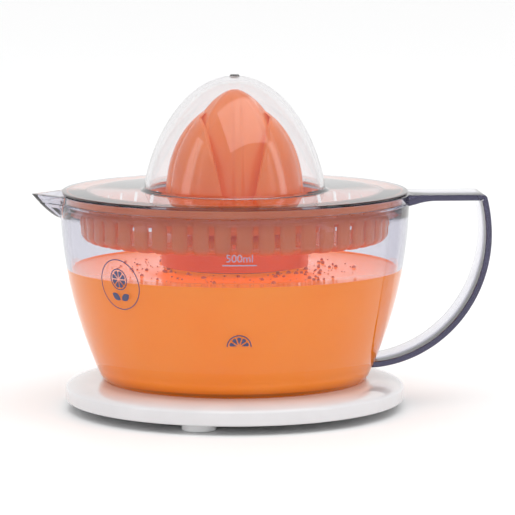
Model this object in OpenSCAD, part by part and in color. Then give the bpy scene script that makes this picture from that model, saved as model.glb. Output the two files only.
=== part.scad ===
// Electric citrus press. A round base plate carries a motor tower, a clear jug with a central
// well drops over the tower, and a strainer, two reamer cones and a domed lid stack on the jug.
// The drive axis is Z, the floor is z = 0, the handle points to +X and the spout to -X.

/* [Base] */
// Radius of the round base plate
plate_r = 73.2; // [72:0.1:75]
// Height of the feet under the plate
foot_h = 3.8; // [3.5:0.1:4.2]
// Height of the plate's upright edge
plate_edge = 5.2; // [5:0.1:5.6]
// Rise of the plate's crowned top above its edge
plate_crown = 3.7; // [3.5:0.1:4]
// Wall of the moulded base
base_wall = 2.2; // [2:0.1:2.3]
// Diameter of a foot
foot_d = 14.4; // [12:0.2:16]
// Distance of the feet and the cover screws from the axis
foot_pitch_r = 60; // [58:0.5:61]

/* [Jug] */
// Outer radius of the jug at its rim
jug_rim_r = 75.25; // [75:0.05:76]
// Outer radius of the jug at its foot
jug_foot_r = 57.2; // [55:0.05:58]
// Height of the jug from its foot to its rim
jug_h = 80.5; // [80:0.1:82]
// Wall of the jug
jug_wall = 2.1; // [1.9:0.05:2.2]
// Radius of the domed well over the motor tower, on the juice side
well_r = 42.5; // [42:0.1:43]
// Height of the domed part of the well, measured as a half ellipse
well_rise = 46; // [45.5:0.1:47]
// Radius of the well's neck, on the juice side
neck_r = 26.5; // [26:0.1:27]
// Reach of the spout's tip from the axis
spout_reach = 87.3; // [84:0.1:90]
// Half width of the spout where it leaves the rim
spout_half_w = 17; // [15:0.5:19]

/* [Handle] */
// Width of the strap handle
handle_w = 27; // [24:0.5:30]
// Thickness of the strap
handle_t = 2.55; // [2.2:0.05:3]
// Reach of the strap from the axis
handle_reach = 109.9; // [106:0.1:112]

/* [Strainer] */
// Outer radius of the slotted wall
basket_r = 66.2; // [65:0.1:67]
// Number of slots round the wall
slot_count = 45; // [36:1:48]
// Width of a slot
slot_w = 3; // [2.5:0.05:3.2]
// Outer radius of the skirt round the well's neck
skirt_r = 31.7; // [31:0.1:33]

/* [Cones] */
// Outer radius of the large cone
big_r = 29.7; // [29.4:0.1:30]
// Outer radius of the small cone at its base
small_r = 24.2; // [24:0.1:24.4]
// Height of the small cone's tip above the floor
cone_tip = 137.5; // [137:0.1:138]
// Number of ridges on the small cone
ridge_count = 8; // [8:8:8]

/* [Lid] */
// Radius of the flat lid
lid_r = 74.4; // [74:0.1:75]
// Thickness of the flat lid
lid_t = 1.2; // [1.1:0.1:1.3]
// Outer radius of the dome at its foot
dome_r = 39; // [38.8:0.1:40]
// Height of the dome above the flat lid
dome_h = 49; // [48.8:0.1:50]

/* [Drive] */
// Gear module
gear_module = 0.8; // [0.8:0.1:0.8]
// Teeth on both pinions
pinion_teeth = 12; // [12:1:12]
// Teeth on both large gears
wheel_teeth = 32; // [32:1:32]
// Radius of the steel spindle
spindle_r = 3; // [2.8:0.1:3]

/* [Hidden] */
$fn = 96;

gap = 0.05;                 // running or assembly clearance, on the radius
well_gap = 0.8;             // space between the motor tower and the jug's well

plate_z = foot_h;
edge_z = plate_z + plate_edge;
jug_z = edge_z + plate_crown;
crown_flat_r = plate_r - 12.6;
cover_t = 2;
cover_r = plate_r - 4.7;
foot_angles = [12, 132, 252];
foot_stem_r = 3;
foot_edge = 0.6;            // bevel round the bottom of a foot
screw_angles = [42, 162, 282];
gland_angle = 72;

rim_z = jug_z + jug_h;
jug_curve_h = 82;           // height at which the jug's side would be upright
jug_floor_z = jug_z + 2.5;
well_z = jug_z + 8;         // centre of the well's half ellipse
shoulder_z = 73;            // top of the well's neck
ledge_z = rim_z - 3.2;      // ledge that carries the strainer
jug_collar_r = 10;
jug_collar_z = 85;

tower_r = well_r - jug_wall - well_gap;
tower_rise = well_rise - jug_wall - well_gap;
tower_neck_r = neck_r - jug_wall - well_gap;
tower_top_z = shoulder_z - jug_wall - well_gap;
tower_collar_r = 7.2;
tower_collar_z = 82;
seal_r = 5.2;

floor_z = shoulder_z + 0.2; // underside of the strainer's floor
floor_t = 1.8;
skirt_z = floor_z - 11;
basket_wall = 1.8;
basket_corner = 4;
strainer_collar_r = 12.4;
strainer_collar_z = 87;

centre_distance = gear_module * (pinion_teeth + wheel_teeth) / 2;
pin_r = 1.5;
layshaft_pin_r = 1.25;
can_r = 28;
can_z = 7.2;
gear_plate_z = 28.3;
gear_plate_r = 35.3;
sheet_t = 1.2;              // sheet metal
boss_angles = [30, 150, 270];
plate_boss_r = 31.5;
bracket_boss_r = 19.8;
bracket_z = 49.5;
bracket_t = 2;
bracket_r = 23.8;
bush_r = 5.5;
spring_z = bracket_z + bracket_t + 1;
yoke_z = spring_z + 8;
yoke_t = 2;
switch_x = 15.8;
switch_h = 6.5;
switch_z = bracket_z + bracket_t;
plunger_z = yoke_z - 1.3;   // top of the switch's plunger
coupling_z = 84.5;
coupling_top = 111;
coupling_af = 7.6;          // width across the flats of the drive hexagon

cone_z = 79;
large_cone_z = 78.5;
big_top = 127.75;           // top of the large cone's petals
socket_z = 88.5;
socket_top = 111.6;
ledge_t = 1.5;

// Radius of the jug's outside at height z
function jug_out(z) =
    jug_rim_r - (jug_rim_r - jug_foot_r) * pow(1 - (z - jug_z) / jug_curve_h, 2.1);

// Points up an ellipse from its widest ring to the ring of radius r
function ellipse_up(a, b, z0, r, n = 14) =
    [for (i = [0:n]) let (e = acos(r / a) * i / n) [a * cos(e), z0 + b * sin(e)]];

function reversed(p) = [for (i = [len(p) - 1:-1:0]) p[i]];

// Outline of the lid's dome, of foot radius r and height h
function dome_out(r, h, n = 24) =
    [for (i = [0:n]) let (u = pow(sin(90 * i / n), 1.4))
        [r * pow(1 - pow(u, 1.5), 0.49), rim_z + lid_t + h * u]];

// Outer radius of the large cone and of the small cone's valleys at height z
function big_out(z) = big_r * sqrt(1 - pow(max(0, z - 90.5) / 41.6, 2.2));
function small_out(z) =
    small_r * pow(max(0, 1 - pow(max(0, z - cone_z - 1.5) / (cone_tip - cone_z - 1.4), 2.6)), 0.62);

// Inner radius of the large cone, which thins to an edge where it meets the small cone
function big_in(z) = min(big_out(z) - 0.25,
    max(big_out(z) - 2.2, small_out(z) + 0.1 + min(1, (big_top + 0.05 - z) / 4)));

// Half width of the opening between the large cone's two petals
function petal_gap(z) = min(6.5 + 9.5 * pow(max(0, z - 86.5) / 41, 1.4), 0.93 * big_out(z));

// Half angle of an involute gear tooth at radius r, in degrees
function involute(a) = tan(a) * 180 / PI - a;
function tooth_half(teeth, r) =
    let (pitch_r = gear_module * teeth / 2, base_r = pitch_r * cos(25),
         play = 0.07 / pitch_r * 180 / PI)
    90 / teeth - play + involute(25) - involute(acos(min(1, base_r / r)));
function gear_points(teeth) =
    let (pitch_r = gear_module * teeth / 2, base_r = pitch_r * cos(25),
         root_r = pitch_r - gear_module, tip_r = pitch_r + 0.8 * gear_module,
         start_r = max(base_r + 0.02, root_r),
         flank = [for (k = [0:3]) start_r + (tip_r - start_r) * k / 3],
         half = concat([[root_r, tooth_half(teeth, start_r)]],
                       [for (r = flank) [r, tooth_half(teeth, r)]]))
    [for (i = [0:teeth - 1], p = concat([for (h = half) [h[0], -h[1]]],
                                        [for (h = reversed(half)) h]))
        let (a = 360 * i / teeth + p[1]) p[0] * [cos(a), sin(a)]];

module ring(r_out, r_in, z, h) {
    translate([0, 0, z])
        difference() {
            cylinder(h = h, r = r_out);
            translate([0, 0, -1]) cylinder(h = h + 2, r = r_in);
        }
}

module gear(teeth, z, h, phase = 0) {
    translate([0, 0, z]) rotate([0, 0, phase]) linear_extrude(height = h)
        polygon(gear_points(teeth));
}

// Copies of a child at each of the given angles and at one radius
module at_angles(angles, r) {
    for (a = angles) rotate([0, 0, a]) translate([r, 0, 0]) children();
}

// A pan-head screw whose head starts at height z and whose tip points up
module screw(z, head_r, head_h, shank_r, length) {
    translate([0, 0, z]) {
        difference() {
            cylinder(h = head_h, r = head_r, $fn = 36);
            for (a = [0, 90]) rotate([0, 0, a])
                translate([-head_r * 0.6, -0.35, -0.1]) cube([head_r * 1.2, 0.7, head_h * 0.5]);
        }
        cylinder(h = head_h + length - 1, r = shank_r, $fn = 36);
        translate([0, 0, head_h + length - 1]) cylinder(h = 1, r1 = shank_r, r2 = 0.3, $fn = 36);
    }
}

// A tube of radius r along a list of points, closed at both ends
tube_skew = [0.35, -0.8, 0.49];   // a direction that no stretch of a tube runs along
module tube(p, r, sides = 8) {
    n = len(p) - 1;
    points = [for (i = [0:n])
        let (t = p[min(n, i + 1)] - p[max(0, i - 1)], u = cross(t, tube_skew), v = cross(t, u))
        for (k = [0:sides - 1]) p[i] + r * cos(360 * k / sides) * u / norm(u)
                                     + r * sin(360 * k / sides) * v / norm(v)];
    faces = concat([[for (k = [0:sides - 1]) k]],
        [[for (k = [sides - 1:-1:0]) n * sides + k]],
        [for (i = [0:n - 1], k = [0:sides - 1]) let (m = (k + 1) % sides)
            [i * sides + k, (i + 1) * sides + k, (i + 1) * sides + m]],
        [for (i = [0:n - 1], k = [0:sides - 1]) let (m = (k + 1) % sides)
            [i * sides + k, (i + 1) * sides + m, i * sides + m]]);
    polyhedron(points = points, faces = faces, convexity = 8);
}

// ---- Base ----

crown_steps = 8;
crown_points = [for (i = [0:crown_steps]) let (e = 90 * i / crown_steps)
    [crown_flat_r + (plate_r - crown_flat_r) * cos(e), edge_z + plate_crown * sin(e)]];
function inset(p) = [p[0] - base_wall * 0.7, p[1] - base_wall];

module base_shell() {
    rotate_extrude($fn = 180) polygon(concat(
        [[plate_r - base_wall, plate_z], [plate_r - 0.6, plate_z], [plate_r, plate_z + 0.6]],
        crown_points,
        [[tower_r, jug_z]],
        ellipse_up(tower_r, tower_rise, well_z, tower_neck_r),
        [[tower_neck_r, tower_top_z], [tower_collar_r, tower_top_z],
         [tower_collar_r, tower_collar_z], [seal_r, tower_collar_z],
         [seal_r, tower_top_z - base_wall], [tower_neck_r - base_wall, tower_top_z - base_wall]],
        reversed(ellipse_up(tower_r - base_wall, tower_rise - base_wall, well_z,
                            tower_neck_r - base_wall)),
        [[tower_r - base_wall, jug_z - base_wall], [crown_flat_r, jug_z - base_wall]],
        [for (i = [crown_steps - 1:-1:3]) inset(crown_points[i])],
        [[plate_r - base_wall, edge_z - 0.6]]));
}

module base_housing() {
    color("white") difference() {
        union() {
            base_shell();
            // bosses for the cover screws
            at_angles(screw_angles, foot_pitch_r)
                translate([0, 0, plate_z + cover_t + gap]) cylinder(h = 5.4, r = 3.4, $fn = 36);
            // bosses that carry the gear plate and the top bracket
            intersection() {
                union() {
                    at_angles(boss_angles, plate_boss_r)
                        translate([0, 0, gear_plate_z + sheet_t])
                            cylinder(h = 20, r = 3, $fn = 36);
                    at_angles(boss_angles, bracket_boss_r)
                        translate([0, 0, bracket_z + bracket_t])
                            cylinder(h = 9, r = 2.6, $fn = 36);
                }
                rotate_extrude($fn = 180) polygon(concat(
                    [[0, jug_z], [tower_r - 0.6, jug_z]],
                    ellipse_up(tower_r - 0.6, tower_rise - 0.6, well_z, tower_neck_r - 0.6),
                    [[tower_neck_r - 0.6, tower_top_z - 0.6], [0, tower_top_z - 0.6]]));
            }
        }
        at_angles(screw_angles, foot_pitch_r) cylinder(h = 10, r = 1.3 + gap, $fn = 24);
        at_angles(boss_angles, plate_boss_r)
            translate([0, 0, 20]) cylinder(h = 19, r = 1.45 + gap, $fn = 24);
        at_angles(boss_angles, bracket_boss_r)
            translate([0, 0, 40]) cylinder(h = 18, r = 1.3 + gap, $fn = 24);
        gland_shape(8.1, 4.3, plate_r - 8, 20);
    }
}

module bottom_cover() {
    color("gainsboro") difference() {
        translate([0, 0, plate_z]) cylinder(h = cover_t, r = cover_r, $fn = 120);
        at_angles(screw_angles, foot_pitch_r) cylinder(h = 10, r = 1.5, $fn = 24);
        at_angles(foot_angles, foot_pitch_r) cylinder(h = 10, r = foot_stem_r + gap, $fn = 24);
        cylinder(h = 10, r = foot_stem_r + gap, $fn = 24);
        // cooling slots under the motor, on both sides of the middle foot
        for (i = [2:5], s = [-1, 1])
            translate([s * i * 5 - 1, -20 + i * 1.5, plate_z - 1]) cube([2, 40 - i * 3, 4]);
    }
}

module foot(stem_h) {
    translate([0, 0, foot_edge]) cylinder(h = foot_h - foot_edge, r = foot_d / 2, $fn = 48);
    cylinder(h = foot_edge, r1 = foot_d / 2 - foot_edge, r2 = foot_d / 2, $fn = 48);
    translate([0, 0, foot_h]) cylinder(h = stem_h, r = foot_stem_r, $fn = 36);
}

// Three feet near the edge, and one under the motor that takes the load of pressing
module feet() {
    color("whitesmoke") {
        at_angles(foot_angles, foot_pitch_r) foot(cover_t + 1.6);
        foot(cover_t);
    }
}

module cover_screws() {
    color("silver") at_angles(screw_angles, foot_pitch_r)
        screw(plate_z - 1.4, 2.6, 1.4, 1.3, 5.6);
}

// A flat-sided oval, w wide and h high, along the cord's way out of the base
module gland_shape(w, h, x, length) {
    rotate([0, 0, gland_angle]) translate([x, 0, plate_z + 2.8])
        for (s = [-1, 0, 1]) if (s == 0) translate([0, -(w - h) / 2, -h / 2])
            cube([length, w - h, h]);
        else translate([0, s * (w - h) / 2, 0]) rotate([0, 90, 0])
            cylinder(h = length, r = h / 2, $fn = 32);
}

module cord_gland() {
    color("lightgray") difference() {
        union() {
            gland_shape(8, 4.2, plate_r - 4.5, 5.6);
            intersection() {
                gland_shape(10, 5, plate_r + 0.1, 1.2);
                translate([0, 0, plate_z]) cylinder(h = 20, r = plate_r + 2);
            }
        }
        gland_shape(5.4, 3, plate_r - 8, 20);
    }
}

module terminal_block() {
    color("ivory") rotate([0, 0, gland_angle]) difference() {
        translate([48, -8, plate_z + cover_t]) cube([9, 16, 4.2]);
        for (s = [-1, 0, 1]) translate([47, s * 5, plate_z + cover_t + 2])
            rotate([0, 90, 0]) cylinder(h = 11, r = 1.2, $fn = 24);
    }
}

wire_r = 0.75;
wire_low_z = plate_z + cover_t + 1.6;
function wire_round(a0, a1, r) = [for (i = [0:5]) let (a = a0 + (a1 - a0) * i / 5)
    [r * cos(a), r * sin(a), wire_low_z]];

// Two leads: from the terminals round the motor, up the tower's side and to the switch
module lead_wires() {
    routes = [for (s = [-1, 1]) concat(
        [[47.8 * cos(gland_angle) - s * 5 * sin(gland_angle),
          47.8 * sin(gland_angle) + s * 5 * cos(gland_angle), wire_low_z]],
        wire_round(gland_angle - 6 + 3 * s, 3 * s, 32.6 + s),
        [[33.2, 1.8 * s, 24], [33.2, 1.8 * s, 31], [30.3, 1.6 * s, 40], [24.8, 1.4 * s, 47.5],
         [22.9, 1.3 * s, 50.5], [21.3, 1.4 * s, 52.8], [19.4, 2 * s, 54.5]])];
    color("saddlebrown") for (route = routes) tube(route, wire_r);
}

// ---- Motor ----

module motor_can() {
    color("darkgray") difference() {
        union() {
            ring(can_r, can_r - 1, can_z, gear_plate_z - can_z);
            translate([0, 0, can_z]) cylinder(h = 1, r = can_r);
            ring(gear_plate_r, can_r - 1, gear_plate_z - sheet_t, sheet_t);
        }
        translate([0, 0, can_z - 1]) cylinder(h = 3, r = pin_r + gap, $fn = 36);
        at_angles(boss_angles, plate_boss_r) cylinder(h = 40, r = 1.7, $fn = 24);
        translate([37, 0, 20]) cylinder(h = 20, r = 6.4, $fn = 36);
    }
}

pole_count = 6;
module pole_cup() {
    difference() {
        rotate_extrude() polygon([[14.2, 0], [26.9, 0], [26.9, sheet_t], [15.3, sheet_t],
                                  [15.3, 15.6], [14.2, 15.6]]);
        // spaces between the claws
        for (i = [0:pole_count - 1]) rotate([0, 0, 360 * (i + 0.5) / pole_count])
            translate([8, -4.9, sheet_t + 0.3]) cube([10, 9.8, 20]);
    }
}

module stator_poles() {
    color("slategray") {
        translate([0, 0, can_z + 1]) pole_cup();
        translate([0, 0, gear_plate_z - gap]) rotate([180, 0, 180 / pole_count]) pole_cup();
    }
}

bobbin_z = can_z + 1 + sheet_t;
bobbin_h = gear_plate_z - sheet_t - gap - bobbin_z;
module coil_bobbin() {
    color("black") {
        ring(16.6, 15.5, bobbin_z, bobbin_h);
        ring(26.8, 15.5, bobbin_z, 1.1);
        ring(26.8, 15.5, bobbin_z + bobbin_h - 1.1, 1.1);
    }
}

module coil_winding() {
    color("peru") ring(25.6, 16.6 + gap, bobbin_z + 1.1 + gap, bobbin_h - 2.2 - 2 * gap);
}

module motor_pin() {
    color("silver") translate([0, 0, can_z]) cylinder(h = 36.4, r = pin_r, $fn = 36);
}

module gear_plate() {
    color("gainsboro") difference() {
        translate([0, 0, gear_plate_z]) cylinder(h = sheet_t, r = gear_plate_r);
        cylinder(h = 40, r = 6, $fn = 48);
        at_angles(boss_angles, plate_boss_r) cylinder(h = 40, r = 1.7, $fn = 24);
        translate([0, centre_distance, 0]) cylinder(h = 40, r = layshaft_pin_r + gap, $fn = 36);
        translate([37, 0, 20]) cylinder(h = 20, r = 6.4, $fn = 36);
    }
}

module motor_screws() {
    color("silver") at_angles(boss_angles, plate_boss_r)
        screw(gear_plate_z - sheet_t - 2, 2.8, 2, 1.45, 11);
}

module layshaft_pin() {
    color("silver") translate([0, centre_distance, gear_plate_z])
        cylinder(h = bracket_z + bracket_t - gear_plate_z, r = layshaft_pin_r, $fn = 36);
}

module top_bracket() {
    color("lightgray") difference() {
        translate([0, 0, bracket_z]) cylinder(h = bracket_t, r = bracket_r);
        cylinder(h = 60, r = bush_r + gap, $fn = 48);
        at_angles(boss_angles, bracket_boss_r) cylinder(h = 60, r = 1.6, $fn = 24);
        translate([0, centre_distance, 0]) cylinder(h = 60, r = layshaft_pin_r + gap, $fn = 36);
        translate([25.2, 0, 40]) cylinder(h = 20, r = 4.2, $fn = 36);
    }
}

module bracket_screws() {
    color("silver") at_angles(boss_angles, bracket_boss_r) screw(bracket_z - 2, 2.7, 2, 1.3, 8);
}

module spindle_bush() {
    color("darkgoldenrod") difference() {
        union() {
            translate([0, 0, bracket_z]) cylinder(h = 7.5, r = bush_r, $fn = 48);
            translate([0, 0, bracket_z + bracket_t]) cylinder(h = 1, r = 8.5, $fn = 48);
        }
        cylinder(h = 80, r = spindle_r + gap, $fn = 48);
    }
}

module spindle_seal() {
    color("dimgray") ring(seal_r, spindle_r + gap, tower_collar_z - 2.5, 2.5);
}

module switch_body() {
    color("black") difference() {
        translate([switch_x - 3.2, -6.4, switch_z]) cube([6.4, 12.8, switch_h]);
        translate([switch_x, 0, switch_z + 3]) cylinder(h = 10, r = 1.1 + gap, $fn = 24);
    }
}

spring_turns = 4;
spring_r = 7.3;
spring_wire = 0.5;
spring_steps = 16;

// Compression spring round the bush
module return_spring() {
    steps = spring_turns * spring_steps;
    rise = yoke_z - spring_z - 2 * spring_wire;
    color("silver") tube([for (i = [0:steps]) let (a = 360 * i / spring_steps)
        [spring_r * cos(a), spring_r * sin(a), spring_z + spring_wire + rise * i / steps]],
        spring_wire);
}

// ---- Turning pieces of the drive ----

magnet_z = 10.5;
module rotor_magnet() {
    color("dimgray") ring(13.7, 6 + gap, magnet_z, 14.5);
}

module rotor_pinion() {
    color("ivory") difference() {
        union() {
            translate([0, 0, can_z + 1.2]) cylinder(h = 3, r = 3, $fn = 36);
            translate([0, 0, magnet_z - 1]) cylinder(h = 16.5, r = 6, $fn = 48);
            translate([0, 0, magnet_z - 1.2]) cylinder(h = 1.2, r = 7.5, $fn = 48);
            translate([0, 0, 25]) cylinder(h = 6, r = 3.9, $fn = 36);
            gear(pinion_teeth, 30.5, 5.5);
        }
        cylinder(h = 60, r = pin_r + gap, $fn = 36);
    }
}

module layshaft_gear() {
    color("ivory") translate([0, centre_distance, 0]) difference() {
        union() {
            gear(wheel_teeth, 31, 4, 180 / wheel_teeth);
            gear(pinion_teeth, 34.9, 11.1);
            translate([0, 0, 29.7]) cylinder(h = 2, r = 3, $fn = 36);
            translate([0, 0, 45]) cylinder(h = 4.2, r = 3, $fn = 36);
        }
        cylinder(h = 60, r = layshaft_pin_r + gap, $fn = 36);
    }
}

module output_gear() {
    color("ivory") difference() {
        union() {
            gear(wheel_teeth, 39.5, 5, 180 / wheel_teeth);
            translate([0, 0, 39]) cylinder(h = 8, r = 6, $fn = 48);
        }
        translate([0, 0, 38]) cylinder(h = 7, r = pin_r + gap, $fn = 36);
        translate([0, 0, 44.6]) cylinder(h = 10, r = spindle_r + 0.02, $fn = 48);
    }
}

module spindle() {
    color("silver") difference() {
        translate([0, 0, 44.6]) cylinder(h = coupling_top - 2 - 44.6, r = spindle_r, $fn = 48);
        translate([0, 0, 44]) cylinder(h = 1, r = pin_r + gap, $fn = 36);
    }
}

module thrust_collar() {
    color("gray") ring(7.5, spindle_r + 0.02, yoke_z + yoke_t + 0.6, 2);
}

module drive_coupling() {
    color("gainsboro") difference() {
        translate([0, 0, coupling_z])
            cylinder(h = coupling_top - coupling_z, r = coupling_af / 2 / cos(30), $fn = 6);
        translate([0, 0, coupling_z - 1])
            cylinder(h = coupling_top - 1 - coupling_z, r = spindle_r + 0.02, $fn = 48);
    }
}

// ---- Press-to-start pieces ----

module press_yoke() {
    color("orange") difference() {
        union() {
            translate([0, 0, yoke_z]) cylinder(h = yoke_t, r = 10, $fn = 60);
            translate([0, -3, yoke_z]) cube([switch_x + 2.5, 6, yoke_t]);
            translate([switch_x, 0, plunger_z]) cylinder(h = yoke_z - plunger_z + 1, r = 1.8,
                                                         $fn = 24);
        }
        cylinder(h = 90, r = spindle_r + 0.3, $fn = 48);
    }
}

module thrust_washer() {
    color("white") ring(8, spindle_r + 0.2, yoke_z + yoke_t, 0.6);
}

module switch_plunger() {
    color("red") translate([switch_x, 0, switch_z + 4.4])
        cylinder(h = plunger_z - switch_z - 4.4, r = 1.1, $fn = 24);
}

// ---- Jug ----

// The jug is one clear moulding, given here as sections that meet face to face
jug_corner_z = jug_floor_z + 4;     // where the floor's round corner meets the wall
jug_joint_z = 50;                   // where the lower wall meets the upper wall
jug_joint_r = well_r + 3.5;         // where the floor meets the well
jug_seat_r = jug_rim_r - 4.1;       // inner edge of the strainer's ledge

// The jug's outside from height z0 up to z1, and its inside from height z1 down to z0
function jug_side(z0, z1, n) = [for (i = [0:n]) let (z = z0 + (z1 - z0) * i / n) [jug_out(z), z]];
function jug_inside(z1, z0, n) =
    [for (i = [0:n]) let (z = z1 - (z1 - z0) * i / n) [jug_out(z) - jug_wall, z]];

module jug_floor() {
    corner_r = jug_out(jug_corner_z) - jug_wall;
    color("lightsteelblue", 0.5) rotate_extrude($fn = 180) polygon(concat(
        [[jug_foot_r - 3.6, jug_z], [jug_foot_r - 1.4, jug_z], [jug_foot_r - 0.3, jug_z + 0.5]],
        jug_side(jug_z + 1.6, jug_corner_z, 3),
        [for (e = [0:15:90]) [corner_r - 5 * (1 - cos(e)), jug_corner_z - 4 * sin(e)]],
        [[jug_joint_r, jug_floor_z], [jug_joint_r, jug_floor_z - jug_wall],
         [jug_foot_r - 4.2, jug_floor_z - jug_wall]]));
}

module jug_lower_wall() {
    color("lightsteelblue", 0.5) rotate_extrude($fn = 180) polygon(concat(
        jug_side(jug_corner_z, jug_joint_z, 10), jug_inside(jug_joint_z, jug_corner_z, 10)));
}

module jug_well() {
    color("lightsteelblue", 0.5) rotate_extrude($fn = 180) polygon(concat(
        [[jug_joint_r, jug_floor_z - jug_wall], [jug_joint_r, jug_floor_z],
         [well_r + 2, jug_floor_z], [well_r + 0.5, jug_floor_z + 0.6], [well_r, jug_floor_z + 2]],
        ellipse_up(well_r, well_rise, well_z, neck_r),
        [[neck_r, shoulder_z], [jug_collar_r, shoulder_z], [jug_collar_r, jug_collar_z],
         [jug_collar_r - 2, jug_collar_z], [jug_collar_r - 2, shoulder_z - jug_wall],
         [neck_r - jug_wall, shoulder_z - jug_wall]],
        reversed(ellipse_up(well_r - jug_wall, well_rise - jug_wall, well_z, neck_r - jug_wall)),
        [[well_r - jug_wall, jug_floor_z - jug_wall]]));
}

// A beak: a blunt tip at reach x, a mouth of half width w on the rim and a keel down to z
beak_r = 0.5;
spout_keel_z = 81.6;
module beak(x, w, z, top, back) {
    hull() {
        translate([beak_r - x, 0, top]) sphere(r = beak_r, $fn = 16);
        for (s = [-1, 1]) translate([-back, s * w, top]) sphere(r = beak_r, $fn = 16);
        translate([-back, 0, z]) sphere(r = beak_r, $fn = 16);
    }
}

// The hollow of the spout, which opens through the upper wall
module spout_hollow() {
    difference() {
        beak(spout_reach - 3.2, spout_half_w - 2, spout_keel_z + 2.4, rim_z + 1.9, 71);
        cylinder(h = 120, r = basket_r + 1, $fn = 96);
    }
}
module jug_upper_wall() {
    color("lightsteelblue", 0.5) difference() {
        rotate_extrude($fn = 180) polygon(concat(
            jug_side(jug_joint_z, rim_z, 14),
            [[jug_rim_r - 2.2, rim_z], [jug_rim_r - 2.2, ledge_z], [jug_seat_r, ledge_z],
             [jug_seat_r, ledge_z - 1]],
            jug_inside(ledge_z - 5.5, jug_joint_z, 12)));
        spout_hollow();
    }
}

module jug_spout() {
    color("lightsteelblue", 0.5) difference() {
        beak(spout_reach, spout_half_w, spout_keel_z, rim_z - beak_r, 72.4);
        rotate_extrude($fn = 180) polygon(concat([[0, jug_joint_z]],
            jug_side(jug_joint_z, rim_z, 14), [[jug_rim_r, rim_z + 2], [0, rim_z + 2]]));
        spout_hollow();
    }
}

// ---- Handle ----

handle_top_z = rim_z - 0.5;
handle_turn_z = 75;
handle_mid_x = 55;
handle_drop = handle_turn_z - 18;
handle_bulge = 2.4;

// The strap's outline, set in from its outer face by d
function strap(d) = concat(
    [[70, handle_top_z - d]],
    [for (i = [0:6]) let (z = handle_top_z - d - (handle_top_z - d - handle_turn_z) * i / 6,
                          u = (z - handle_turn_z) / (handle_top_z - handle_turn_z))
        [handle_reach - d - handle_bulge * u * u, z]],
    [for (e = [4:4:84]) [handle_mid_x + (handle_reach - handle_mid_x - d) * cos(e),
                         handle_turn_z - (handle_drop - d) * sin(e)]],
    [[handle_mid_x, handle_turn_z - handle_drop + d]]);

module jug_handle() {
    color("lightsteelblue", 0.5) difference() {
        rotate([90, 0, 0]) linear_extrude(height = handle_w, center = true)
            polygon(concat(strap(0), reversed(strap(handle_t))));
        rotate_extrude($fn = 180) polygon(concat([[0, 0], [jug_out(jug_corner_z), 0]],
            jug_side(jug_corner_z, jug_joint_z, 10), jug_side(jug_joint_z, rim_z, 14),
            [[jug_rim_r, 100], [0, 100]]));
    }
}

// ---- Strainer ----

// The strainer is one moulding, given here as sections that meet face to face
strainer_joint_z = floor_z + 3;     // where the floor's corner meets the slotted wall
slot_top_z = floor_z + 13.4;        // top of the slots in the wall
inner_corner = basket_corner - basket_wall;

// Radii of the rounded bottom corner at height z, outside and inside
function corner_out(z) =
    basket_r - basket_corner + sqrt(pow(basket_corner, 2) - pow(floor_z + basket_corner - z, 2));
function corner_in(z) = basket_r - basket_corner
    + sqrt(max(0, pow(inner_corner, 2) - pow(floor_z + basket_corner - z, 2)));

module strainer_hub() {
    color("darkorange", 0.8) difference() {
        rotate_extrude($fn = 180) polygon([
            [strainer_collar_r - 1.8, floor_z], [skirt_r - 1.7, floor_z], [skirt_r - 1.7, skirt_z],
            [skirt_r, skirt_z], [skirt_r, floor_z + floor_t],
            [strainer_collar_r, floor_z + floor_t], [strainer_collar_r, strainer_collar_z],
            [strainer_collar_r - 1.8, strainer_collar_z]]);
        // bayonet notch and window in the skirt
        rotate([0, 0, -60]) translate([skirt_r - 4, -1, skirt_z - 1]) cube([6, 2, 9.5]);
        translate([0, 0, skirt_z - 1]) linear_extrude(height = 5.6)
            polygon(concat([for (a = [-59:2:-33]) (skirt_r - 0.8) * [cos(a), sin(a)]],
                           [for (a = [-33:-2:-59]) (skirt_r + 1) * [cos(a), sin(a)]]));
    }
}

module strainer_floor() {
    levels = [for (i = [0:5]) floor_z + (strainer_joint_z - floor_z) * pow(i / 5, 2)];
    color("darkorange", 0.8) difference() {
        rotate_extrude($fn = 180) polygon(concat(
            [[skirt_r, floor_z]], [for (z = levels) [corner_out(z), z]],
            [for (z = reversed(levels)) if (z > floor_z + floor_t + 0.05) [corner_in(z), z]],
            [[basket_r - basket_corner, floor_z + floor_t], [skirt_r, floor_z + floor_t]]));
        // drain slots
        for (i = [0:slot_count - 1]) rotate([0, 0, 270 + 360 * (i + 0.5) / slot_count])
            translate([38, -0.8, floor_z - 1]) cube([18, 1.6, 5]);
    }
}

module strainer_wall() {
    levels = [for (i = [0:3]) strainer_joint_z + (basket_corner - 3) * i / 3];
    color("darkorange", 0.8) difference() {
        rotate_extrude($fn = 180) polygon(concat(
            [for (z = levels) [corner_out(z), z]],
            [[basket_r, ledge_z], [jug_rim_r - 2.6, ledge_z], [jug_rim_r - 2.6, rim_z],
             [jug_rim_r - 4.2, rim_z], [jug_rim_r - 4.2, ledge_z + 1.6],
             [basket_r - basket_wall, ledge_z + 1.6]],
            [for (z = reversed(levels)) [corner_in(z), z]]));
        for (i = [0:slot_count - 1]) rotate([0, 0, 270 + 360 * (i + 0.5) / slot_count])
            translate([basket_r - 5.5, -slot_w / 2, strainer_joint_z - 1])
                cube([8, slot_w, slot_top_z - strainer_joint_z + 1]);
    }
}

// ---- Cones ----

module guide_ring() {
    color("white") ring(15, strainer_collar_r + 0.08, 82.5, 3.5);
}

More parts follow.
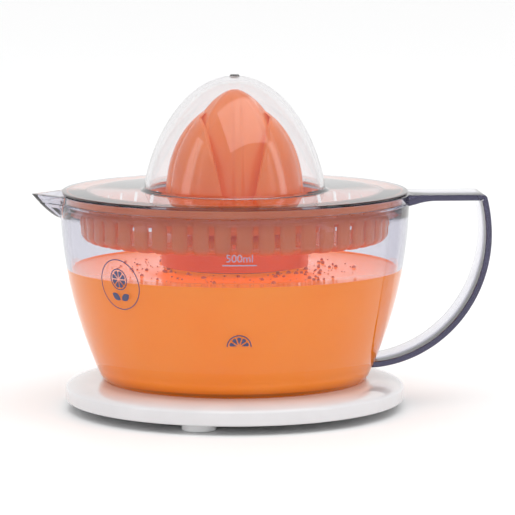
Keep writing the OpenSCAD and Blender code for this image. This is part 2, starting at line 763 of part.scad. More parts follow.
small_steps = 30;
small_levels = [for (i = [0:small_steps]) let (u = 1 - pow(1 - i / small_steps, 1.6))
    cone_z + 1.5 + (cone_tip - cone_z - 1.5) * u];
module small_shell() {
    rotate_extrude($fn = 120) polygon(concat(
        [[small_r - 2, cone_z], [big_r - 2.5, cone_z], [big_r - 2.5, cone_z + ledge_t]],
        [for (z = small_levels) [small_out(z), z]],
        [[0, cone_tip - 2.5]],
        [for (i = [small_steps - 4:-1:0]) let (z = small_levels[i])
            [max(0.01, small_out(z) - 2.1), z - 1.2]]));
}

// A ridge that follows the small cone's side up to the height top
module ridge(top) {
    levels = [for (z = [cone_z + 2:3:top]) z];
    rotate([90, 0, 0]) linear_extrude(height = 2.6, center = true)
        polygon(concat([for (z = levels) [small_out(z) + 0.9 * min(1, (top + 2 - z) / 6), z]],
                       reversed([for (z = levels) [small_out(z) - 1.2, z]])));
}

module small_cone() {
    color("coral", 0.85) {
        difference() {
            union() {
                small_shell();
                for (i = [0:ridge_count - 1]) rotate([0, 0, 360 * i / ridge_count])
                    ridge(i % 4 == 0 ? 120 : 132);
                translate([0, 0, socket_z]) cylinder(h = socket_top - socket_z, r = 6.2, $fn = 48);
                ring(16.8, 15.1, cone_z + 2, 9.5);
                // webs between the socket, the guide's seat and the shell
                for (a = [45:90:315]) rotate([0, 0, a]) rotate([90, 0, 0])
                    linear_extrude(height = 1.6, center = true)
                        polygon(concat([[5, socket_z + 1], [16, socket_z + 1], [16, cone_z + 5]],
                            [for (z = [cone_z + 5:5:cone_z + 30]) [small_out(z) - 1, z]],
                            [[5, cone_z + 30]]));
            }
            translate([0, 0, socket_z - 1]) cylinder(h = coupling_top + 0.1 - socket_z + 1,
                r = (coupling_af + 0.3) / 2 / cos(30), $fn = 6);
            for (a = [0, 180]) rotate([0, 0, a])
                translate([small_r + 1.4, -3, cone_z - 1]) cube([5, 6, ledge_t + 1.3]);
        }
    }
}

petal_z = 84.2;                     // where the petals stand on the large cone's ring
big_steps = 24;
big_levels = [for (i = [0:big_steps])
    petal_z + (big_top - petal_z) * (1 - pow(1 - i / big_steps, 1.3))];

// Grooves between the lobes of the large cone
module lobe_grooves() {
    for (side = [0, 180], a = [-45.6, -15.2, 15.2, 45.6]) rotate([0, 0, side + a])
        rotate([90, 0, 0]) linear_extrude(height = 1.2, center = true)
            polygon(concat([for (z = [80:4:124]) [big_out(z) - 0.7, z]],
                           [for (z = [124:-4:80]) [big_out(z) + 2, z]]));
}

// The ring that joins the large cone's petals, with two keys to the small cone's notches
module large_cone() {
    color("coral", 0.85) difference() {
        union() {
            rotate_extrude($fn = 120) polygon([
                [big_r - 2.2, large_cone_z], [big_r - 0.5, large_cone_z],
                [big_r, large_cone_z + 0.6], [big_r, petal_z], [big_r - 2.2, petal_z],
                [big_r - 2.2, cone_z + ledge_t + 2.1], [small_r + 1.2, cone_z + ledge_t + 1.5],
                [small_r + 1.2, cone_z + ledge_t + 0.05],
                [big_r - 2.2, cone_z + ledge_t + 0.05]]);
            for (a = [0, 180]) rotate([0, 0, a])
                translate([small_r + 1.6, -2.7, cone_z]) cube([3, 5.4, ledge_t + 0.3]);
        }
        lobe_grooves();
    }
}

// Two petals that close round the small cone
module cone_petals() {
    color("coral", 0.85) difference() {
        rotate_extrude($fn = 120) polygon(concat(
            [for (z = big_levels) [big_out(z), z]], [for (z = reversed(big_levels)) [big_in(z), z]]));
        // openings between the petals, front and back
        rotate([90, 0, 0]) linear_extrude(height = 80, center = true)
            polygon(concat([for (z = [petal_z - 1:3:big_top + 3]) [petal_gap(min(z, big_top)), z]],
                           reversed([for (z = [petal_z - 1:3:big_top + 3])
                               [-petal_gap(min(z, big_top)), z]])));
        lobe_grooves();
    }
}

// ---- Lid ----

// The lid is one clear moulding, given here as sections that meet face to face
dome_wall = 1.8;
dome_outer = dome_out(dome_r, dome_h);
dome_inner = dome_out(dome_r - dome_wall, dome_h - dome_wall);
dome_split = 12;                    // outline point where the dome's wall meets its crown

module lid_plate() {
    color("aliceblue", 0.4) {
        rotate_extrude($fn = 180) polygon(
            [[dome_r - dome_wall, rim_z], [lid_r - 0.4, rim_z], [lid_r, rim_z + 0.4],
             [lid_r, rim_z + lid_t - 0.3], [lid_r - 0.3, rim_z + lid_t],
             [dome_r - dome_wall, rim_z + lid_t]]);
        ring(64, 62.4, rim_z - 2.5, 2.5);
    }
}

module lid_dome() {
    color("aliceblue", 0.4) rotate_extrude($fn = 180) polygon(concat(
        [[dome_r + 1.4, rim_z + lid_t], [dome_r + 0.3, rim_z + lid_t + 0.5]],
        [for (i = [2:dome_split]) dome_outer[i]],
        [for (i = [dome_split:-1:0]) dome_inner[i]]));
}

module lid_crown() {
    last = len(dome_outer) - 1;
    color("aliceblue", 0.4) {
        rotate_extrude($fn = 180) polygon(concat(
            [for (i = [dome_split:last]) dome_outer[i]],
            [for (i = [last:-1:dome_split]) dome_inner[i]]));
        translate([0, 0, rim_z + lid_t + dome_h - 0.2]) cylinder(h = 0.8, r = 2, $fn = 32);
    }
}

base_housing();
bottom_cover();
feet();
cover_screws();
cord_gland();
terminal_block();
lead_wires();
motor_can();
stator_poles();
coil_bobbin();
coil_winding();
motor_pin();
gear_plate();
motor_screws();
layshaft_pin();
top_bracket();
bracket_screws();
spindle_bush();
spindle_seal();
switch_body();
return_spring();
rotor_magnet();
rotor_pinion();
layshaft_gear();
press_yoke();
thrust_washer();
switch_plunger();
output_gear();
spindle();
thrust_collar();
drive_coupling();
jug_floor();
jug_lower_wall();
jug_upper_wall();
jug_spout();
jug_well();
jug_handle();
strainer_hub();
strainer_floor();
strainer_wall();
guide_ring();
small_cone();
large_cone();
cone_petals();
lid_plate();
lid_dome();
lid_crown();
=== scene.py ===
"""Looks of the citrus press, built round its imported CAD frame. Outlines are in millimetres."""
import math
import random

import bmesh
import bpy
from mathutils import Matrix, Vector


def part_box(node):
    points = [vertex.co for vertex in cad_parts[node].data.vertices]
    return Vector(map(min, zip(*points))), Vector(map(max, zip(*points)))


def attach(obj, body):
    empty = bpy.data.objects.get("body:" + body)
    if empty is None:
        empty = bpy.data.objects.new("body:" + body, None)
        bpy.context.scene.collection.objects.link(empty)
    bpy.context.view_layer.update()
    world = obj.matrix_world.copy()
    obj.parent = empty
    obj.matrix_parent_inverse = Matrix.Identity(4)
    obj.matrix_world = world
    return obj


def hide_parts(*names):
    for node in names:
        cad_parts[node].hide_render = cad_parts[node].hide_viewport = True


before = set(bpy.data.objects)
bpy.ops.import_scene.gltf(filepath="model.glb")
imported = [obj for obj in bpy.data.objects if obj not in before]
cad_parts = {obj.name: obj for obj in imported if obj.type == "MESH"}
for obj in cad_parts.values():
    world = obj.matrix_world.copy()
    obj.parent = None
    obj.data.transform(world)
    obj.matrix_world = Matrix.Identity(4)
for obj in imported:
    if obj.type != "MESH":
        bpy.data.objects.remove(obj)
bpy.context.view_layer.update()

MM = 0.001
TAU = 2 * math.pi


# ---------------------------------------------------------------- sizes from the frame

def node_box(name):
    """Lowest and highest corner of a CAD node, in millimetres."""
    low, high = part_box(name)
    return [v / MM for v in low], [v / MM for v in high]


PLATE_LOW, PLATE_HIGH = node_box("base_housing")
JUG_LOW = node_box("jug_floor")[0]
JUG_HIGH = node_box("jug_upper_wall")[1]
HANDLE_LOW, HANDLE_HIGH = node_box("jug_handle")
STRAINER_LOW, STRAINER_HIGH = node_box("strainer_hub")[0], node_box("strainer_wall")[1]
LID_HIGH = node_box("lid_crown")[1]
CONE_LOW, CONE_HIGH = node_box("small_cone")
BIG_LOW, BIG_HIGH = node_box("large_cone")[0], node_box("cone_petals")[1]
FEET_HIGH = node_box("feet")[1]

PLATE_R = PLATE_HIGH[0]
PLATE_Z = PLATE_LOW[2]
PLATE_EDGE = 5.2
EDGE_Z = PLATE_Z + PLATE_EDGE
JUG_Z = JUG_LOW[2]
CROWN_FLAT_R = PLATE_R - 12.6
BASE_WALL = 2.2
COVER_T = 2
FOOT_R = 7.2
FOOT_STEM_R = 3
FOOT_PITCH_R = 60
FOOT_ANGLES = (12, 132, 252)
SEAL_R = 5.2
TOWER_COLLAR_R = 7.2
TOWER_COLLAR_Z = PLATE_HIGH[2]

RIM_Z = STRAINER_HIGH[2]
RIM_R = JUG_HIGH[1]
JUG_FOOT_R = 57.2
JUG_CURVE_H = 82
JUG_WALL = 2.1
JUG_FLOOR_Z = JUG_Z + 2.5
LEDGE_Z = RIM_Z - 3.2
GROOVE_Z = LEDGE_Z - 0.3
WELL_R, WELL_RISE, WELL_Z = 42.5, 46, JUG_Z + 8
NECK_R = 26.5
FLOOR_Z = STRAINER_LOW[2] + 11
SHOULDER_Z = FLOOR_Z - 0.2
JUG_COLLAR_R, JUG_COLLAR_Z = 10, 85
WELL_GAP = 0.8
SPOUT_REACH = -node_box("jug_spout")[0][0]
SPOUT_HALF_W = 17
SPOUT_KEEL_Z = 82.6
SPOUT_WALL = 1.8

HANDLE_W = HANDLE_HIGH[1] - HANDLE_LOW[1]
HANDLE_T = 2.55
HANDLE_TOP_Z = HANDLE_HIGH[2]
HANDLE_REACH = HANDLE_HIGH[0]
HANDLE_TURN_Z = 75
HANDLE_MID_X = 55
HANDLE_DROP = HANDLE_TURN_Z - 18
HANDLE_BULGE = 2.4

BASKET_R = 66.2
BASKET_WALL = 1.8
BASKET_CORNER = 4
SLATS = 45
SLOT_W = 3
SLOT_TOP_Z = FLOOR_Z + 13.4
NOTCH_START, NOTCH_END = 301, 327
SKIRT_R = 31.7
SKIRT_Z = STRAINER_LOW[2]
COLLAR_R, COLLAR_Z = 12.4, 87
FLANGE_R = STRAINER_HIGH[0]

BIG_R = BIG_HIGH[0]
CONE_Z = CONE_LOW[2]
CONE_TIP = CONE_HIGH[2]
BIG_TOP = BIG_HIGH[2]
BIG_Z = BIG_LOW[2]
SMALL_R = 24.2
RIDGES = 8
SOCKET_TOP, SOCKET_Z = 111.6, 88.5
SOCKET_R, SOCKET_BORE_R = 6.2, 4.6
GUIDE_SEAT_R, GUIDE_SEAT_IN = 16.8, 15.1
GUIDE_SEAT_LOW, GUIDE_SEAT_HIGH = CONE_Z + 2, CONE_Z + 11.5

LID_R = node_box("lid_plate")[1][0]
LID_T = 1.2
LID_RING_R, LID_RING_IN, LID_RING_DEPTH = 64, 62.4, 2.5
DOME_R = 39
DOME_WALL = 1.8
DOME_H = 49
JUICE_Z = JUG_Z + 47.8


# ---------------------------------------------------------------- outlines

def jug_out(z):
    """Radius of the jug's outside at height z."""
    return RIM_R - (RIM_R - JUG_FOOT_R) * max(0, 1 - (z - JUG_Z) / JUG_CURVE_H) ** 2.1


def ellipse_up(a, b, z0, r, n=24):
    """Points up a half ellipse from its widest ring to the ring of radius r."""
    top = math.acos(r / a)
    return [(a * math.cos(top * i / n), z0 + b * math.sin(top * i / n)) for i in range(n + 1)]


def span(start, end, n):
    """n + 1 evenly spaced numbers from start to end."""
    return [start + (end - start) * i / n for i in range(n + 1)]


def rounded(corners, steps=5):
    """An outline whose corners (r, z, radius) are rounded; a corner without a radius stays."""
    out = []
    for i, corner in enumerate(corners):
        p = Vector(corner[:2])
        if len(corner) < 3 or not corner[2]:
            out.append(tuple(p))
            continue
        before = Vector(corners[i - 1][:2]) - p
        after = Vector(corners[(i + 1) % len(corners)][:2]) - p
        reach = min(corner[2], before.length * 0.49, after.length * 0.49)
        a, b = p + before.normalized() * reach, p + after.normalized() * reach
        for k in range(steps + 1):
            t = k / steps
            out.append(tuple(a * (1 - t) ** 2 + p * 2 * t * (1 - t) + b * t * t))
    return out


def dome(radius, height, n=44):
    """The dome's outline from its foot to its top."""
    points = []
    for i in range(n + 1):
        u = math.sin(math.pi / 2 * i / n) ** 1.4
        points.append((radius * max(0, 1 - u ** 1.5) ** 0.49, RIM_Z + LID_T + height * u))
    return points


def big_out(z):
    """Outer radius of the large cone's lobes at height z."""
    return BIG_R * math.sqrt(max(0, 1 - (max(0, z - 90.5) / 41.6) ** 2.2))


def small_out(z):
    """Radius of the small cone's valleys at height z."""
    u = max(0, z - CONE_Z - 1.5) / (CONE_TIP - CONE_Z - 1.4)
    return SMALL_R * max(0, 1 - u ** 2.6) ** 0.62


def petal_gap(z):
    """Half width of the opening between the large cone's petals at height z."""
    return min(6.5 + 9.5 * (max(0, z - 86.5) / 41) ** 1.4, 0.93 * big_out(z))


# ---------------------------------------------------------------- meshes

def finish_mesh(bm, name, material, sharp=38):
    """Turn a bmesh in millimetres into a smooth-shaded object with sharp edges kept."""
    bmesh.ops.remove_doubles(bm, verts=bm.verts, dist=1e-4)
    bmesh.ops.dissolve_degenerate(bm, dist=1e-5, edges=bm.edges)
    bmesh.ops.recalc_face_normals(bm, faces=bm.faces)
    bmesh.ops.scale(bm, vec=(MM, MM, MM), verts=bm.verts)
    for face in bm.faces:
        face.smooth = True
    for edge in bm.edges:
        if len(edge.link_faces) == 2 and edge.calc_face_angle(0) > math.radians(sharp):
            edge.smooth = False
    mesh = bpy.data.meshes.new(name)
    bm.to_mesh(mesh)
    bm.free()
    mesh.materials.append(material)
    piece = bpy.data.objects.new(name, mesh)
    bpy.context.scene.collection.objects.link(piece)
    return piece


def place(piece, body, slot, *nodes):
    """Ride a piece on its body and hide the CAD nodes that it stands for; slot is not used."""
    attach(piece, body)
    if nodes:
        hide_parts(*nodes)
    return piece


def add_lathe(bm, outline, segments=160, shift=None, angles=None):
    """Turn a closed outline of (r, z) about the axis; shift moves each (angle, r, z)."""
    angles = angles or [TAU * k / segments for k in range(segments)]
    rows = []
    for r, z in outline:
        row = []
        for a in angles:
            rr, zz = shift(a, r, z) if shift else (r, z)
            row.append(bm.verts.new((rr * math.cos(a), rr * math.sin(a), zz)))
        rows.append(row)
    count = len(angles)
    for i, row in enumerate(rows):
        after = rows[(i + 1) % len(rows)]
        for k in range(count):
            m = (k + 1) % count
            bm.faces.new((row[k], row[m], after[m], after[k]))


def lathe(name, outline, material, **more):
    bm = bmesh.new()
    add_lathe(bm, outline, **more)
    return finish_mesh(bm, name, material)


def add_shell(bm, outer, inner, closed, is_open=None):
    """Join two grids of points, outer[i][k] and inner[i][k], into a closed wall.
    closed says that the columns go all the way round; is_open(i, k) leaves a hole."""
    rows, cols = len(outer), len(outer[0])
    skins = [[[bm.verts.new(p) for p in row] for row in grid] for grid in (outer, inner)]
    last = cols if closed else cols - 1

    def solid(i, k):
        if not 0 <= i < rows - 1 or not (closed or 0 <= k < last):
            return False
        return not (is_open and is_open(i, k % cols))

    for i in range(rows - 1):
        for k in range(last):
            if not solid(i, k):
                continue
            m = (k + 1) % cols
            for grid in skins:
                bm.faces.new((grid[i][k], grid[i][m], grid[i + 1][m], grid[i + 1][k]))
            sides = [(i - 1, k, (i, k), (i, m)), (i + 1, k, (i + 1, k), (i + 1, m)),
                     (i, k - 1, (i, k), (i + 1, k)), (i, k + 1, (i, m), (i + 1, m))]
            for ni, nk, p, q in sides:
                if not solid(ni, nk):
                    a, b = skins
                    bm.faces.new((a[p[0]][p[1]], a[q[0]][q[1]], b[q[0]][q[1]], b[p[0]][p[1]]))


def polar(r, a, z):
    return (r * math.cos(a), r * math.sin(a), z)


# ---------------------------------------------------------------- materials

def new_material(name):
    material = bpy.data.materials.new(name)
    material.use_nodes = True
    nodes = material.node_tree.nodes
    return material, nodes, material.node_tree.links, nodes["Principled BSDF"]


def vary(nodes, links, socket, low, high, scale, detail=3.0):
    """Drive a socket by soft noise between two values, in object space."""
    place_node = nodes.new("ShaderNodeTexCoord")
    noise = nodes.new("ShaderNodeTexNoise")
    noise.inputs["Scale"].default_value = scale
    noise.inputs["Detail"].default_value = detail
    spread = nodes.new("ShaderNodeMapRange")
    spread.inputs["To Min"].default_value = low
    spread.inputs["To Max"].default_value = high
    links.new(place_node.outputs["Object"], noise.inputs["Vector"])
    links.new(noise.outputs["Fac"], spread.inputs["Value"])
    links.new(spread.outputs["Result"], socket)
    return noise


def add_bump(nodes, links, shader, scale, strength, distance, detail=2.0):
    place_node = nodes.new("ShaderNodeTexCoord")
    noise = nodes.new("ShaderNodeTexNoise")
    noise.inputs["Scale"].default_value = scale
    noise.inputs["Detail"].default_value = detail
    bump = nodes.new("ShaderNodeBump")
    bump.inputs["Strength"].default_value = strength
    bump.inputs["Distance"].default_value = distance
    links.new(place_node.outputs["Object"], noise.inputs["Vector"])
    links.new(noise.outputs["Fac"], bump.inputs["Height"])
    links.new(bump.outputs["Normal"], shader.inputs["Normal"])


def tint(nodes, links, shader, dark, light, scale):
    """Base colour that drifts between two near tones."""
    place_node = nodes.new("ShaderNodeTexCoord")
    noise = nodes.new("ShaderNodeTexNoise")
    noise.inputs["Scale"].default_value = scale
    noise.inputs["Detail"].default_value = 4
    ramp = nodes.new("ShaderNodeValToRGB")
    ramp.color_ramp.elements[0].position = 0.3
    ramp.color_ramp.elements[1].position = 0.7
    ramp.color_ramp.elements[0].color = (*dark, 1)
    ramp.color_ramp.elements[1].color = (*light, 1)
    links.new(place_node.outputs["Object"], noise.inputs["Vector"])
    links.new(noise.outputs["Fac"], ramp.inputs["Fac"])
    links.new(ramp.outputs["Color"], shader.inputs["Base Color"])


def moulded(name, dark, light, rough=(0.25, 0.35), bump=0.04, coat=0.0):
    material, nodes, links, shader = new_material(name)
    tint(nodes, links, shader, dark, light, 60)
    vary(nodes, links, shader.inputs["Roughness"], rough[0], rough[1], 140)
    shader.inputs["Coat Weight"].default_value = coat
    shader.inputs["Coat Roughness"].default_value = 0.04
    add_bump(nodes, links, shader, 900, bump, 0.0002)
    return material


def metal(name, dark, light, rough=(0.25, 0.4), scale=500):
    material, nodes, links, shader = new_material(name)
    tint(nodes, links, shader, dark, light, 120)
    vary(nodes, links, shader.inputs["Roughness"], rough[0], rough[1], scale)
    shader.inputs["Metallic"].default_value = 1
    add_bump(nodes, links, shader, 1500, 0.06, 0.0001)
    return material


def clear(name, absorb, density, rough=(0.01, 0.03), ior=1.5):
    """Polished clear plastic whose tint comes from the depth of material."""
    material, nodes, links, shader = new_material(name)
    shader.inputs["Base Color"].default_value = (1, 1, 1, 1)
    shader.inputs["Transmission Weight"].default_value = 1
    shader.inputs["IOR"].default_value = ior
    vary(nodes, links, shader.inputs["Roughness"], rough[0], rough[1], 40)
    add_bump(nodes, links, shader, 45, 0.05, 0.0004)
    volume = nodes.new("ShaderNodeVolumeAbsorption")
    volume.inputs["Color"].default_value = (*absorb, 1)
    volume.inputs["Density"].default_value = density
    links.new(volume.outputs["Volume"], nodes["Material Output"].inputs["Volume"])
    return material


def translucent(name, dark, light, through, rough, density, glow):
    """Coloured plastic that lets some light through; glow stands in for scattered light."""
    material, nodes, links, shader = new_material(name)
    tint(nodes, links, shader, dark, light, 45)
    shader.inputs["Transmission Weight"].default_value = through
    shader.inputs["IOR"].default_value = 1.49
    vary(nodes, links, shader.inputs["Roughness"], rough[0], rough[1], 90)
    add_bump(nodes, links, shader, 700, 0.05, 0.0002)
    volume = nodes.new("ShaderNodeVolumeAbsorption")
    volume.inputs["Color"].default_value = (1.0, 0.42, 0.16, 1)
    shader.inputs["Emission Color"].default_value = (1.0, 0.17, 0.02, 1)
    shader.inputs["Emission Strength"].default_value = glow
    volume.inputs["Density"].default_value = density
    links.new(volume.outputs["Volume"], nodes["Material Output"].inputs["Volume"])
    return material


WHITE = moulded("white_abs", (0.62, 0.615, 0.63), (0.66, 0.655, 0.67), (0.10, 0.16), 0.02, 0.5)
GREY = moulded("grey_abs", (0.55, 0.55, 0.56), (0.62, 0.62, 0.63), (0.40, 0.55), 0.12)
FOOT = moulded("foot_rubber", (0.88, 0.88, 0.89), (0.94, 0.94, 0.95), (0.55, 0.70), 0.15)
SEAL = moulded("seal_rubber", (0.02, 0.02, 0.02), (0.04, 0.04, 0.04), (0.60, 0.75), 0.20)
NYLON = moulded("nylon", (0.70, 0.67, 0.57), (0.80, 0.77, 0.68), (0.35, 0.5), 0.10)
BLACK = moulded("black_plastic", (0.012, 0.012, 0.013), (0.03, 0.03, 0.03), (0.4, 0.5), 0.12)
RED = moulded("red_plastic", (0.45, 0.02, 0.01), (0.60, 0.04, 0.02), (0.35, 0.45), 0.08)
SLEEVE = moulded("wire_sleeve", (0.16, 0.05, 0.02), (0.24, 0.09, 0.03), (0.4, 0.5), 0.05)
STEEL = metal("steel", (0.50, 0.50, 0.52), (0.62, 0.62, 0.63), (0.22, 0.34))
ZINC = metal("zinc_sheet", (0.48, 0.50, 0.54), (0.62, 0.63, 0.66), (0.32, 0.5), 220)
COPPER = metal("enamelled_copper", (0.45, 0.16, 0.07), (0.62, 0.26, 0.12), (0.25, 0.4), 900)
BRONZE = metal("sintered_bronze", (0.38, 0.24, 0.10), (0.50, 0.34, 0.16), (0.45, 0.6), 900)
FERRITE = moulded("ferrite", (0.03, 0.03, 0.035), (0.06, 0.06, 0.07), (0.5, 0.65), 0.3)
INK = moulded("print_ink", (0.045, 0.045, 0.11), (0.06, 0.06, 0.14), (0.35, 0.45), 0.02)
LEVEL = moulded("level_print", (0.28, 0.28, 0.36), (0.36, 0.36, 0.44), (0.35, 0.45), 0.02)
CLEAR = clear("clear_plastic", (0.17, 0.15, 0.34), 124, ior=1.46)
CLEAR_LID = clear("clear_lid_plastic", (0.45, 0.38, 0.44), 50, ior=1.46)
ORANGE = translucent("orange_plastic", (0.90, 0.18, 0.02), (0.96, 0.24, 0.04), 0.12,
                     (0.16, 0.24), 50, 0.09)
# The cones' orange plastic again, with a darker base colour and a weaker glow: painted shade for the
# strainer lying in shadow behind the jug's wall.
SHADED_ORANGE = translucent("orange_plastic_painted_shade", (0.88, 0.17, 0.02), (0.94, 0.23, 0.04), 0.12,
                     (0.18, 0.26), 50, 0.06)


def juice_material():
    """Cloudy juice: mostly diffuse, with a little glow in place of scattered light."""
    material, nodes, links, shader = new_material("orange_juice")
    tint(nodes, links, shader, (1.0, 0.31, 0.02), (1.0, 0.40, 0.05), 25)
    shader.inputs["Transmission Weight"].default_value = 0.12
    shader.inputs["IOR"].default_value = 1.34
    shader.inputs["Emission Color"].default_value = (1.0, 0.24, 0.0, 1)
    shader.inputs["Emission Strength"].default_value = 0.46
    vary(nodes, links, shader.inputs["Roughness"], 0.04, 0.14, 60)
    add_bump(nodes, links, shader, 60, 0.04, 0.0005)
    return material


JUICE = juice_material()


# ---------------------------------------------------------------- base

def tower_outline(inset):
    """The motor tower's side and top, set in from the outside by inset."""
    a = WELL_R - JUG_WALL - WELL_GAP - inset
    b = WELL_RISE - JUG_WALL - WELL_GAP - inset
    neck = NECK_R - JUG_WALL - WELL_GAP - inset
    return ellipse_up(a, b, WELL_Z, neck) + [(neck, SHOULDER_Z - JUG_WALL - WELL_GAP - inset)]


def make_base():
    crown = [(CROWN_FLAT_R + (PLATE_R - CROWN_FLAT_R) * math.cos(e),
              EDGE_Z + (JUG_Z - EDGE_Z) * math.sin(e)) for e in span(0, math.pi / 2, 20)]
    inner = [(r - BASE_WALL * 0.7, z - BASE_WALL) for r, z in reversed(crown[8:])]
    outer_tower, inner_tower = tower_outline(0), tower_outline(BASE_WALL)
    outline = ([(PLATE_R - BASE_WALL, PLATE_Z), (PLATE_R - 0.9, PLATE_Z)]
               + [(PLATE_R - 0.9 * (1 - math.sin(e)), PLATE_Z + 0.9 * (1 - math.cos(e)))
                  for e in span(0.2, math.pi / 2, 6)]
               + crown + [(outer_tower[0][0] + 1.2, JUG_Z), (outer_tower[0][0], JUG_Z + 1.2)]
               + outer_tower[1:-1]
               + rounded([(*outer_tower[-2],), (*outer_tower[-1], 2.0),
                          (TOWER_COLLAR_R, outer_tower[-1][1], 1.0),
                          (TOWER_COLLAR_R, TOWER_COLLAR_Z, 0.5), (SEAL_R, TOWER_COLLAR_Z, 0.2),
                          (SEAL_R, inner_tower[-1][1], 0)])[1:]
               + [inner_tower[-1]] + inner_tower[-2::-1]
               + [(inner_tower[0][0], JUG_Z - BASE_WALL), (CROWN_FLAT_R, JUG_Z - BASE_WALL)]
               + inner + [(PLATE_R - BASE_WALL, EDGE_Z - 0.6)])
    piece = lathe("base_shell", outline, WHITE, segments=240)
    place(piece, "base", "white_plastic", "base_housing")


def make_feet():
    """Three feet near the edge and one in the middle."""
    bm = bmesh.new()
    places = [(0, 0, PLATE_Z + COVER_T)]
    places += [(FOOT_PITCH_R, angle, FEET_HIGH[2]) for angle in FOOT_ANGLES]
    for pitch, angle, top in places:
        first = len(bm.verts)
        outline = rounded([(0, 0), (FOOT_R - 2.5, 0, 0), (FOOT_R - 2.2, 0.25, 0),
                           (FOOT_R - 1.6, 0.0, 0.2), (FOOT_R, 0, 0.7),
                           (FOOT_R, PLATE_Z, 0.1), (FOOT_STEM_R, PLATE_Z, 0),
                           (FOOT_STEM_R, top, 0.4), (0, top)])
        add_lathe(bm, outline, segments=64)
        bmesh.ops.translate(bm, verts=list(bm.verts)[first:], vec=polar(pitch, math.radians(angle), 0))
    place(finish_mesh(bm, "rubber_feet", FOOT), "base", "foot_rubber", "feet")


# ---------------------------------------------------------------- jug

def spout_shift(angle, r, z):
    """Push the jug's wall out into a pointed beak round the -X side."""
    if z < SPOUT_KEEL_Z or r < RIM_R - 6:
        return r, z
    side = jug_out(z)
    within = r < side - 1
    t = (z - (SPOUT_WALL if within else 0) - SPOUT_KEEL_Z) / (RIM_Z - SPOUT_KEEL_Z)
    phi = abs(math.remainder(angle - math.pi, TAU))
    if t <= 0 or phi > 0.5:
        return r, z
    t = min(1, t)
    tip = side + (SPOUT_REACH - 0.05 - RIM_R) * t ** 0.7
    half = max(0.01, SPOUT_HALF_W * t ** 0.6)
    foot = math.sqrt(side * side - half * half)

    def line(turn):
        """A straight side of the beak, softened at the tip."""
        turn = math.sqrt(turn * turn + 0.012 ** 2) - 0.004
        return half * tip / (math.sin(turn) * (tip - foot) + half * math.cos(turn))

    push = max(0, line(phi) - side) * (tip - side) / max(0.01, line(0) - side)
    if within:
        blend = min(1, push / 1.5)
        r += (side - JUG_WALL - 0.05 - r) * blend
    return r + push, z


def spout_angles():
    """Angles round the jug, close together at the spout."""
    step, fine = math.radians(2), math.radians(0.4)
    near = [math.pi + fine * k for k in range(-45, 46)]
    rest = [a for a in (step * k for k in range(180)) if abs(a - math.pi) > fine * 47]
    return sorted(near + rest)


def make_jug_wall():
    """The jug without its handle, as a bmesh."""
    side = [(jug_out(z), z) for z in span(JUG_Z + 2.2, SPOUT_KEEL_Z - 0.4, 40)]
    side += [(jug_out(z) - (0.3 if abs(z - GROOVE_Z) < 0.3 else 0), z)
             for z in span(SPOUT_KEEL_Z, RIM_Z - 0.5, 30)]
    inside = [(jug_out(z) - JUG_WALL, z) for z in span(LEDGE_Z - 5.5, JUG_FLOOR_Z + 4, 40)]
    corner = inside[-1][0]
    bend = [(corner - 5 * (1 - math.cos(e)), JUG_FLOOR_Z + 4 * (1 - math.sin(e)))
            for e in span(0.15, math.pi / 2, 8)]
    shoulder = SHOULDER_Z
    outline = (rounded([(JUG_FOOT_R - 4.2, JUG_FLOOR_Z - JUG_WALL, 0.4),
                        (JUG_FOOT_R - 3.6, JUG_Z, 0.4), (JUG_FOOT_R - 0.6, JUG_Z, 1.2),
                        side[0]])[:-1]
               + side
               + rounded([side[-1], (RIM_R, RIM_Z, 0.45), (RIM_R - 2.2, RIM_Z, 0.35),
                          (RIM_R - 2.2, LEDGE_Z, 0.25), (RIM_R - 4.1, LEDGE_Z, 0.3),
                          (RIM_R - 4.1, LEDGE_Z - 1.1, 0.5), inside[0]])[1:-1]
               + inside + bend
               + [(WELL_R + 3, JUG_FLOOR_Z), (WELL_R + 1.2, JUG_FLOOR_Z + 0.25),
                  (WELL_R + 0.3, JUG_FLOOR_Z + 1.0), (WELL_R, JUG_FLOOR_Z + 2.2)]
               + ellipse_up(WELL_R, WELL_RISE, WELL_Z, NECK_R)
               + rounded([(NECK_R, shoulder - 4), (NECK_R, shoulder, 1.5),
                          (JUG_COLLAR_R, shoulder, 0.8), (JUG_COLLAR_R, JUG_COLLAR_Z, 0.6),
                          (JUG_COLLAR_R - 2, JUG_COLLAR_Z, 0.6),
                          (JUG_COLLAR_R - 2, shoulder - JUG_WALL, 0.4),
                          (NECK_R - JUG_WALL, shoulder - JUG_WALL, 1.0),
                          (NECK_R - JUG_WALL, shoulder - 6)])
               + ellipse_up(WELL_R - JUG_WALL, WELL_RISE - JUG_WALL, WELL_Z,
                            NECK_R - JUG_WALL)[::-1]
               + [(WELL_R - JUG_WALL, JUG_FLOOR_Z - JUG_WALL)])
    bm = bmesh.new()
    add_lathe(bm, outline, shift=spout_shift, angles=spout_angles())
    return bm


def strap_path():
    """Points (x, z) and outward normals along the handle's outer face."""
    points = [(x, HANDLE_TOP_Z) for x in span(74.6, HANDLE_REACH - HANDLE_BULGE - 2.2, 14)]
    corner = (HANDLE_REACH - HANDLE_BULGE, HANDLE_TOP_Z)
    down = []
    for z in span(HANDLE_TOP_Z - 1.6, HANDLE_TURN_Z, 10):
        u = (z - HANDLE_TURN_Z) / (HANDLE_TOP_Z - HANDLE_TURN_Z)
        down.append((HANDLE_REACH - HANDLE_BULGE * u * u, z))
    for k in range(1, 6):
        t = k / 6
        points.append(((1 - t) ** 2 * points[14][0] + 2 * t * (1 - t) * corner[0]
                       + t * t * down[0][0],
                       (1 - t) ** 2 * points[14][1] + 2 * t * (1 - t) * corner[1]
                       + t * t * down[0][1]))
    points += down
    for e in span(0.04, math.radians(86), 44):
        points.append((HANDLE_MID_X + (HANDLE_REACH - HANDLE_MID_X) * math.cos(e),
                       HANDLE_TURN_Z - HANDLE_DROP * math.sin(e)))
    return points


